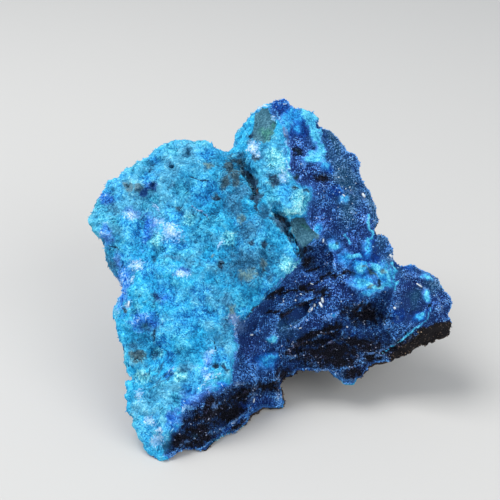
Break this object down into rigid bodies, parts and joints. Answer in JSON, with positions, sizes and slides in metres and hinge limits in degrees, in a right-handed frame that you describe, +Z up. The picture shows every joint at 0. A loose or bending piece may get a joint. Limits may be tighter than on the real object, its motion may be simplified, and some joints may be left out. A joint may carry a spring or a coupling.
{
  "type": "azurite specimen",
  "caption": "Rough natural block of azurite: a broad light-blue leaning face beside a dark crystal crust with ledges and a side knob, resting on its worn feet.",
  "frame": {"origin": "middle of the bounding box, at the height of the feet", "axes": "+X to the side the knob stands out on, seen from the front; -Y to the front, where the light face reaches the ground; +Z up"},
  "size_m": [0.0916, 0.0824, 0.0635],
  "materials": {
    "azurite": "dull, finely crystalline"
  },
  "bodies": {
    "root": {"azurite_block": "azurite"}
  },
  "joints": []
}
